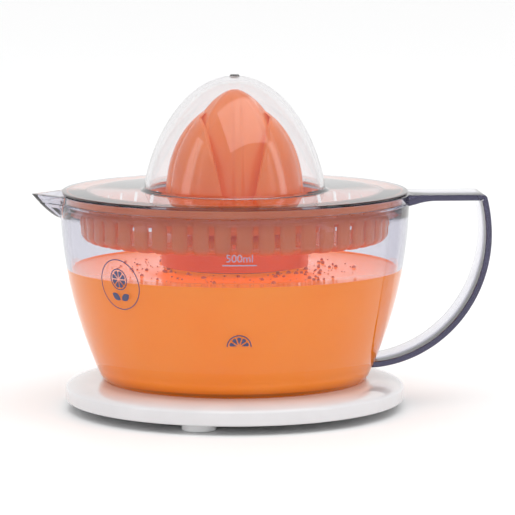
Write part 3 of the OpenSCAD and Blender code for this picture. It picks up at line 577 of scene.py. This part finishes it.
def strap_section():
    """The strap's section: (across, depth), depth measured in from the outer face."""
    half, soft = HANDLE_W / 2, 0.5
    corners = [(-half, 0, soft), (half, 0, soft), (half, HANDLE_T, soft), (-half, HANDLE_T, soft)]
    return rounded(corners, 4)


def make_handle():
    """The strap handle, its two ends sunk in the jug's wall, as a bmesh."""
    path, section = strap_path(), strap_section()
    bm = bmesh.new()
    rings = []
    for i, (x, z) in enumerate(path):
        a, b = path[max(0, i - 1)], path[min(len(path) - 1, i + 1)]
        along = Vector((b[0] - a[0], b[1] - a[1])).normalized()
        inward = Vector((along[1], -along[0]))
        thicken = 1 + 0.9 * max(0, 1 - i / 5) ** 2 if i < 5 else 1
        ring = []
        for across, depth in section:
            px = x + inward[0] * depth * thicken
            pz = z + inward[1] * depth * thicken
            if i in (0, len(path) - 1):
                sunk = jug_out(min(pz, RIM_Z)) - (0.45 if i == 0 else 0.9)
                px = math.sqrt(sunk ** 2 - across ** 2)
            ring.append(bm.verts.new((px, across, pz)))
        rings.append(ring)
    for ring, after in zip(rings, rings[1:]):
        for k in range(len(ring)):
            m = (k + 1) % len(ring)
            bm.faces.new((ring[k], ring[m], after[m], after[k]))
    bm.faces.new(rings[0])
    bm.faces.new(rings[-1])
    return bm


def make_jug():
    jug = finish_mesh(make_jug_wall(), "jug_shell", CLEAR)
    handle = finish_mesh(make_handle(), "strap", CLEAR)
    union = jug.modifiers.new("join", "BOOLEAN")
    union.operation = "UNION"
    union.solver = "EXACT"
    union.object = handle
    graph = bpy.context.evaluated_depsgraph_get()
    joined = bpy.data.meshes.new_from_object(jug.evaluated_get(graph))
    bm = bmesh.new()
    bm.from_mesh(joined)
    bmesh.ops.scale(bm, vec=(1 / MM, 1 / MM, 1 / MM), verts=bm.verts)
    bpy.data.objects.remove(jug)
    bpy.data.objects.remove(handle)
    piece = finish_mesh(bm, "clear_jug", CLEAR)
    place(piece, "jug", "clear_plastic", "jug_floor", "jug_lower_wall", "jug_upper_wall",
          "jug_spout", "jug_well", "jug_handle")


def make_juice():
    sunk = 0.15
    wall = [(jug_out(z) - JUG_WALL + sunk, z) for z in span(JUG_FLOOR_Z + 4, JUICE_Z, 36)]
    corner = wall[0][0]
    bend = [(corner - 5 * (1 - math.cos(e)), JUG_FLOOR_Z - sunk + 4 * (1 - math.sin(e)))
            for e in span(math.pi / 2, 0.15, 8)]
    well = [p for p in ellipse_up(WELL_R - sunk, WELL_RISE - sunk, WELL_Z, NECK_R - sunk)]
    outline = (bend + wall
               + [(wall[-1][0], JUICE_Z + 0.9), (wall[-1][0] - 0.5, JUICE_Z + 0.35),
                  (wall[-1][0] - 1.6, JUICE_Z), (NECK_R + 1.6, JUICE_Z),
                  (NECK_R + 0.5, JUICE_Z + 0.3), (NECK_R - sunk, JUICE_Z + 0.8)]
               + well[::-1] + [(WELL_R - sunk, JUG_FLOOR_Z - sunk)])
    place(lathe("orange_juice", outline, JUICE, segments=200), "jug", "juice")


# ---------------------------------------------------------------- strainer

def basket_rows():
    """Points (r, z, slat) down the basket's outside; slat is how far slats stand out."""
    rows = [(36, FLOOR_Z, 0), (38, FLOOR_Z, 0), (56, FLOOR_Z, 0), (59.5, FLOOR_Z, 0),
            (60.5, FLOOR_Z, 0.35)]
    rows += [(BASKET_R - BASKET_CORNER * (1 - math.sin(e)),
              FLOOR_Z + BASKET_CORNER * (1 - math.cos(e)), 1) for e in span(0, math.pi / 2, 9)]
    rows += [(BASKET_R, z, 1) for z in (FLOOR_Z + 5.5, 81, 84, SLOT_TOP_Z, SLOT_TOP_Z + 0.8)]
    rows += [(BASKET_R, SLOT_TOP_Z + 1.5, 0.35), (BASKET_R, 90.1, 0)]
    return rows


def make_strainer():
    """Slotted basket with standing slats, its flange, its centre collar and its skirt."""
    bm = bmesh.new()
    pitch = TAU / SLATS
    half_slot = SLOT_W / 2 / BASKET_R
    edge = 0.35 / BASKET_R
    offsets = [half_slot - edge, half_slot + edge, half_slot + 3 * edge,
               pitch - half_slot - 3 * edge, pitch - half_slot - edge, pitch - half_slot + edge]
    columns = [(3 * math.pi / 2 + pitch * (n + 0.5) + o, j)
               for n in range(SLATS) for j, o in enumerate(offsets)]
    rows = basket_rows()
    sink = 1.0

    def drop(j, slat):
        """How far a column lies below the slats' face: slats are j 1 to 4."""
        return {0: sink, 5: sink, 1: 0.22, 4: 0.22}.get(j, 0) * slat

    outer, inner = [], []
    for i, (r, z, slat) in enumerate(rows):
        a, b = rows[max(0, i - 1)], rows[min(len(rows) - 1, i + 1)]
        along = Vector((b[0] - a[0], b[1] - a[1])).normalized()
        out = Vector((along[1], -along[0]))
        outer.append([polar(r - out[0] * drop(j, slat), t, z - out[1] * drop(j, slat))
                      for t, j in columns])
        inner.append([polar(r - out[0] * BASKET_WALL, t, z - out[1] * BASKET_WALL)
                      for t, j in columns])
    slot_low = next(i for i, row in enumerate(rows) if row[1] > FLOOR_Z + 2.6)
    slot_high = next(i for i, row in enumerate(rows) if row[1] >= SLOT_TOP_Z)

    def is_open(i, k):
        if columns[k][1] != 5:
            return False
        return slot_low <= i < slot_high or rows[i][0] == 38

    add_shell(bm, outer, inner, True, is_open)
    floor_top = FLOOR_Z + BASKET_WALL
    add_lathe(bm, rounded([(COLLAR_R - 1.8, FLOOR_Z, 0.3), (SKIRT_R - 1.7, FLOOR_Z, 0.2),
                           (SKIRT_R - 1.7, SKIRT_Z, 0.3), (SKIRT_R, SKIRT_Z, 0.5),
                           (SKIRT_R, FLOOR_Z, 0.6), (36.2, FLOOR_Z), (36.2, floor_top),
                           (COLLAR_R, floor_top, 0.8), (COLLAR_R, COLLAR_Z, 0.5),
                           (COLLAR_R - 1.8, COLLAR_Z, 0.5)]), segments=180, shift=bayonet)
    add_lathe(bm, rounded([(BASKET_R - BASKET_WALL, 88.4), (BASKET_R, 88.4),
                           (BASKET_R, LEDGE_Z, 0.5), (FLANGE_R, LEDGE_Z, 0.3),
                           (FLANGE_R, RIM_Z, 0.4), (FLANGE_R - 1.6, RIM_Z, 0.4),
                           (FLANGE_R - 1.6, LEDGE_Z + 1.6, 0.8),
                           (BASKET_R - BASKET_WALL, LEDGE_Z + 1.6, 0.6)]), segments=220)
    # The strainer takes the darker copy of the orange plastic, whose darker base colour and weaker
    # glow are painted shade.
    piece = finish_mesh(bm, "slotted_strainer", SHADED_ORANGE)
    place(piece, "strainer", "orange_plastic", "strainer_hub", "strainer_floor",
          "strainer_wall")


def bayonet(angle, r, z):
    """Sink the bayonet track into the front of the skirt."""
    turn = math.degrees(angle) % 360
    if NOTCH_START < turn < NOTCH_END and r > SKIRT_R - 1 and z < SKIRT_Z + 1:
        return r - 0.8, z
    return r, z


# ---------------------------------------------------------------- cones

def ridge(angle, z):
    """Height of the small cone's ridges above its valleys."""
    pitch = TAU / RIDGES
    off = abs(math.remainder(angle, pitch)) * max(small_out(z), 2.5)
    width = 1.75
    shape = 1 / (1 + (off / width) ** 6)
    fade = min(1, (CONE_TIP - z) / 9)
    under = 1
    if abs(math.remainder(angle, math.pi)) < 0.5:
        under = min(1, max(0, (124 - z) / 5))
    return 1.15 * shape * fade * under * min(1, max(0, (z - CONE_Z - 1.5) / 2))


def valley(angle, z):
    """Hollow between two ridges."""
    pitch = TAU / RIDGES
    u = abs(math.remainder(angle, pitch)) / (pitch / 2)
    return 0.5 * math.sin(math.pi / 2 * u) ** 2 * min(1, (CONE_TIP - z) / 12)


def make_small_cone():
    bm = bmesh.new()
    columns = 240
    angles = [TAU * k / columns for k in range(columns)]
    levels = [CONE_Z + 1.4 + (CONE_TIP - CONE_Z - 1.45) * (1 - (1 - i / 60) ** 1.6)
              for i in range(61)]
    outer, inner = [], []
    for z in levels:
        outer.append([polar(small_out(z) + ridge(a, z) - valley(a, z), a, z) for a in angles])
        inside = max(0.05, small_out(z) - 2.3)
        inner.append([polar(inside, a, z - 1.2 * (z - CONE_Z) / 60) for a in angles])
    add_shell(bm, outer, inner, True)
    bmesh.ops.holes_fill(bm, edges=[e for e in bm.edges if e.is_boundary])
    flange = BIG_R - 2.5
    add_lathe(bm, rounded([(SMALL_R - 2, CONE_Z, 0.3), (flange, CONE_Z, 0.4),
                           (flange, CONE_Z + 1.5, 0.4), (SMALL_R - 2, CONE_Z + 1.5)]),
              segments=144)
    socket = rounded([(SOCKET_BORE_R, SOCKET_Z, 0.2), (SOCKET_R, SOCKET_Z, 0.4),
                      (SOCKET_R, SOCKET_TOP, 0.6), (0, SOCKET_TOP), (0, SOCKET_TOP - 0.5),
                      (SOCKET_BORE_R, SOCKET_TOP - 0.5, 0.3)])
    add_lathe(bm, socket, segments=72)
    add_lathe(bm, rounded([(GUIDE_SEAT_IN, GUIDE_SEAT_LOW, 0.2),
                           (GUIDE_SEAT_R, GUIDE_SEAT_LOW, 0.3),
                           (GUIDE_SEAT_R, GUIDE_SEAT_HIGH, 0.3),
                           (GUIDE_SEAT_IN, GUIDE_SEAT_HIGH, 0.3)]), segments=96)
    for a in (45, 135, 225, 315):
        add_web(bm, math.radians(a))
    place(finish_mesh(bm, "small_reamer", ORANGE), "cones", "orange_plastic", "small_cone")


def add_web(bm, angle):
    """A thin web from the socket to the shell."""
    side = [(small_out(z) - 2.0, z) for z in span(CONE_Z + 5, CONE_Z + 30, 8)]
    outline = [(6, SOCKET_Z + 1), (16, SOCKET_Z + 1), (16, CONE_Z + 5)] + side
    outline += [(6, CONE_Z + 30)]
    across = Vector((-math.sin(angle), math.cos(angle), 0)) * 0.8
    skins = []
    for s in (-1, 1):
        skins.append([bm.verts.new(Vector(polar(r, angle, z)) + across * s)
                      for r, z in outline])
    for skin in skins:
        bm.faces.new(skin)
    for k in range(len(outline)):
        m = (k + 1) % len(outline)
        bm.faces.new((skins[0][k], skins[0][m], skins[1][m], skins[1][k]))


LOBE = math.radians(30.4)


def lobe_drop(angle, centre):
    """How far the grooves between lobes lie below the large cone's outline."""
    off = math.remainder(angle - centre, TAU) / LOBE
    u = abs(off - round(off)) * 2
    return 1.0 * u ** 3.2


def make_large_cone():
    bm = bmesh.new()
    columns = 96
    low = 84.3
    levels = [low + (BIG_TOP - low) * (1 - (1 - i / 56) ** 1.35) for i in range(57)]
    for centre in (0.0, math.pi):
        outer, inner = [], []
        for z in levels:
            r = big_out(z)
            half = math.pi / 2 - math.asin(min(1, max(petal_gap(z), 5.2) / r))
            inside = min(max(r - 2.2, small_out(z) + 0.1 + min(1, (BIG_TOP + 0.4 - z) / 4)), r - 0.3)
            row_out, row_in = [], []
            for k in range(columns + 1):
                v = 2 * k / columns - 1
                a = centre + half * v
                soft = 0.5 * max(0, (abs(v) * half - half + 0.5 / r) * r / 0.5) ** 2
                drop = lobe_drop(a, centre) * min(1, (BIG_TOP - z) / 8)
                row_out.append(polar(r - drop - soft, a, z))
                row_in.append(polar(inside, a, z))
            outer.append(row_out)
            inner.append(row_in)
        add_shell(bm, outer, inner, False)
    skirt_low = BIG_Z

    def scallop(a, r, z):
        """Carry the lobes down the ring under the petals."""
        if r < BIG_R - 1.5:
            return r, z
        centre = 0 if math.cos(a) > 0 else math.pi
        return r - lobe_drop(a, centre) * min(1, max(0, (z - skirt_low) / 3)), z

    ledge = CONE_Z + 1.55
    outline = ([(SMALL_R + 1.2, ledge), (BIG_R - 2.2, ledge), (BIG_R - 2.2, skirt_low),
                (BIG_R - 0.6, skirt_low), (BIG_R - 0.15, skirt_low + 0.3)]
               + [(BIG_R, z) for z in span(skirt_low + 0.9, 84.4, 5)]
               + [(BIG_R - 0.4, 84.9), (BIG_R - 1.8, 84.9), (BIG_R - 2.2, 84.5),
                  (BIG_R - 2.2, ledge + 2.0), (SMALL_R + 1.2, ledge + 1.4)])
    add_lathe(bm, outline, segments=240, shift=scallop)
    place(finish_mesh(bm, "large_reamer", ORANGE), "cones", "orange_plastic", "large_cone",
          "cone_petals")


# ---------------------------------------------------------------- lid

def make_lid():
    """Flat lid with its locating ring, its dome and the nub on top."""
    inner = dome(DOME_R - DOME_WALL, DOME_H - DOME_WALL)
    outer = dome(DOME_R, DOME_H)
    top = RIM_Z + LID_T
    nub = LID_HIGH[2]
    outline = (rounded([inner[1], (DOME_R - DOME_WALL, RIM_Z, 0.4),
                        (LID_RING_IN, RIM_Z, 0.2), (LID_RING_IN, RIM_Z - LID_RING_DEPTH, 0.3),
                        (LID_RING_R, RIM_Z - LID_RING_DEPTH, 0.3), (LID_RING_R, RIM_Z, 0.2),
                        (LID_R, RIM_Z, 0.35), (LID_R, top, 0.45), (DOME_R + 1.2, top, 0.7),
                        outer[2]])[1:-1]
               + outer[2:-3]
               + [(2.1, outer[-4][1] + 0.12), (2.0, nub - 0.25), (1.6, nub), (0, nub)]
               + inner[:1:-1])
    place(lathe("clear_lid", outline, CLEAR_LID, segments=200), "lid", "clear_plastic",
          "lid_plate", "lid_dome", "lid_crown")


# ---------------------------------------------------------------- marks on the jug

def wrap(x, z, turn, height):
    """A point of a flat drawing laid on the jug's outside, turn radians from the front."""
    r = jug_out(z) + height
    a = 3 * math.pi / 2 + turn + x / jug_out(z)
    return polar(r, a, z)


def add_patch(bm, draw, nu, nv, turn, z0, low=0.03, high=0.10):
    """Lay a drawn patch, draw(u, v) -> (x, z), on the jug as a thin closed print."""
    def point(i, k, height):
        x, z = draw(i / nu, k / nv)
        return wrap(x, z0 + z, turn, height)

    outer, inner = [[[point(i, k, height) for k in range(nv + 1)] for i in range(nu + 1)]
                    for height in (high, low)]
    add_shell(bm, outer, inner, False)


def slice_icon(bm, radius, turn, z0, start, sweep, segments):
    """A citrus slice: a ring of peel round wedge-shaped segments."""
    def peel(u, v):
        a = start + sweep * u
        r = radius * (0.90 + 0.10 * v)
        return r * math.cos(a), r * math.sin(a)
    add_patch(bm, peel, 72, 1, turn, z0)
    for k in range(segments):
        mid = start + sweep * (k + 0.5) / segments
        half = sweep / segments / 2

        def wedge(u, v, mid=mid, half=half):
            r = radius * (0.14 + 0.66 * u)
            spread = half - 0.05 * radius / r * 1.1
            a = mid + max(0.02, spread) * (2 * v - 1)
            swell = 1 - 0.10 * (2 * v - 1) ** 2 * u
            return r * swell * math.cos(a), r * swell * math.sin(a)
        add_patch(bm, wedge, 10, 6, turn, z0)


def make_marks():
    """A ring badge with a citrus slice and a leaf pair, and a half slice on the front."""
    bm = bmesh.new()
    badge_turn, badge_z = math.radians(-45.1), 60.4

    def ring(u, v):
        r = 10.75 - 0.42 * v
        return r * math.cos(TAU * u), r * math.sin(TAU * u)
    add_patch(bm, ring, 120, 1, badge_turn, badge_z)
    slice_icon(bm, 4.6, badge_turn, badge_z + 2.2, 0, TAU, 8)
    for side in (-1, 1):
        def leaf(u, v, side=side):
            length, width = 5.0, 1.5
            across = width * math.sin(math.pi * u) ** 0.8 * (2 * v - 1)
            along = length * u
            c, s = math.cos(0.55), math.sin(0.55)
            return side * (0.4 + along * c - across * s), -6.6 + along * s + across * c
        add_patch(bm, leaf, 14, 4, badge_turn, badge_z)
    slice_icon(bm, 5.2, math.radians(-2.1), 36.0, 0.0, math.pi, 5)
    piece = finish_mesh(bm, "printed_marks", INK)
    place(piece, "jug", "clear_plastic")


def make_scale_mark():
    """The printed 500 ml level line and number."""
    data = bpy.data.curves.new("level_number", "FONT")
    data.body = "500ml"
    data.size = 4.6
    data.align_x = "CENTER"
    data.extrude = 0.12
    data.resolution_u = 4
    text = bpy.data.objects.new("level_number", data)
    bpy.context.scene.collection.objects.link(text)
    graph = bpy.context.evaluated_depsgraph_get()
    flat = bpy.data.meshes.new_from_object(text.evaluated_get(graph))
    bpy.data.objects.remove(text)
    bm = bmesh.new()
    bm.from_mesh(flat)
    bmesh.ops.triangulate(bm, faces=bm.faces)
    bmesh.ops.subdivide_edges(bm, edges=bm.edges, cuts=1)
    turn, line_z = math.radians(-2.1), JUG_Z + 57.9
    for v in bm.verts:
        v.co = wrap(v.co.x, line_z + 1.6 + v.co.y, turn, 0.06 + v.co.z)

    def line(u, v):
        return -7 + 14 * u, 0.45 * v
    add_patch(bm, line, 24, 1, turn, line_z, -0.02, 0.22)
    place(finish_mesh(bm, "level_mark", LEVEL), "jug", "clear_plastic")


def make_foam():
    """Small bubbles on the juice round the well's neck."""
    chance = random.Random(7)
    bm = bmesh.new()
    for _ in range(260):
        spread = chance.random() ** 1.6
        r = NECK_R + 1.5 + 26 * spread
        a = chance.random() * TAU
        size = 0.25 + 0.75 * chance.random() ** 3
        bmesh.ops.create_icosphere(bm, subdivisions=2, radius=size,
                                   matrix=Matrix.Translation(polar(r, a, JUICE_Z + size * 0.25)))
    material, nodes, links, shader = new_material("foam")
    tint(nodes, links, shader, (0.62, 0.20, 0.08), (0.95, 0.70, 0.55), 90)
    shader.inputs["Transmission Weight"].default_value = 0.5
    vary(nodes, links, shader.inputs["Roughness"], 0.05, 0.2, 200)
    place(finish_mesh(bm, "juice_foam", material, 60), "jug", "juice")


# ---------------------------------------------------------------- CAD nodes that stay

KEPT = {
    "bottom_cover": GREY, "cover_screws": STEEL, "cord_gland": WHITE, "terminal_block": NYLON,
    "lead_wires": SLEEVE, "motor_can": ZINC, "stator_poles": ZINC, "coil_bobbin": BLACK,
    "coil_winding": COPPER, "motor_pin": STEEL, "gear_plate": ZINC, "motor_screws": STEEL,
    "layshaft_pin": STEEL, "top_bracket": GREY, "bracket_screws": STEEL,
    "spindle_bush": BRONZE, "spindle_seal": SEAL, "switch_body": BLACK,
    "return_spring": STEEL, "rotor_magnet": FERRITE, "rotor_pinion": NYLON,
    "layshaft_gear": NYLON, "press_yoke": BLACK, "thrust_washer": NYLON,
    "switch_plunger": RED, "output_gear": NYLON, "spindle": STEEL, "thrust_collar": STEEL,
    "drive_coupling": WHITE, "guide_ring": NYLON,
}


def dress_kept_nodes():
    for name, material in KEPT.items():
        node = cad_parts[name]
        if not node.data.materials:
            node.data.materials.append(material)
        for slot in node.material_slots:
            slot.material = material


# ---------------------------------------------------------------- stage, light and camera

def make_stage():
    bm = bmesh.new()
    bmesh.ops.create_grid(bm, x_segments=8, y_segments=8, size=6000)
    material, nodes, links, shader = new_material("paper")
    shader.inputs["Base Color"].default_value = (0.93, 0.93, 0.93, 1)
    vary(nodes, links, shader.inputs["Roughness"], 0.5, 0.6, 5)
    floor = finish_mesh(bm, "paper_floor", material)
    floor.location.z = -0.0002


def aim(thing, target):
    thing.rotation_euler = (Vector(target) - thing.location).to_track_quat("-Z", "Y").to_euler()


def make_light(name, location, target, size, power):
    data = bpy.data.lights.new(name, "AREA")
    data.shape = "RECTANGLE"
    data.size, data.size_y = size
    data.energy = power
    light = bpy.data.objects.new(name, data)
    light.location = location
    bpy.context.scene.collection.objects.link(light)
    aim(light, target)


def make_lights():
    scene = bpy.context.scene
    scene.view_settings.view_transform = "Standard"
    scene.world = bpy.data.worlds.new("studio")
    scene.world.use_nodes = True
    sky = scene.world.node_tree.nodes["Background"]
    sky.inputs["Color"].default_value = (1, 1, 1, 1)
    sky.inputs["Strength"].default_value = 1.03
    make_light("above", (0.3, -0.7, 1.9), (0, 0, 0.06), (2.0, 1.6), 14)
    make_light("left_band", (-1.3, -0.5, 0.35), (0, 0, 0.07), (0.30, 1.7), 2)
    make_light("right_band", (1.3, -0.7, 0.35), (0, 0, 0.07), (0.22, 1.7), 2)


def make_camera():
    """A long lens in front, a little to the spout's side and above."""
    yaw, pitch, distance = math.radians(-4.04), math.radians(7.216), 1.3771
    right = Vector((math.cos(yaw), math.sin(yaw), 0))
    target = Vector((0, 0, 0.06483)) + right * 0.00981
    back = Vector((math.sin(yaw) * math.cos(pitch), -math.cos(yaw) * math.cos(pitch),
                   math.sin(pitch)))
    data = bpy.data.cameras.new("camera")
    data.sensor_width = 36
    data.lens = 223
    data.clip_end = 100
    camera = bpy.data.objects.new("camera", data)
    camera.location = target + back * distance
    bpy.context.scene.collection.objects.link(camera)
    aim(camera, target)
    bpy.context.scene.camera = camera


make_camera()
make_lights()
make_stage()
dress_kept_nodes()
make_base()
make_feet()
make_jug()
make_juice()
make_foam()
make_strainer()
make_small_cone()
make_large_cone()
make_lid()
make_marks()
make_scale_mark()
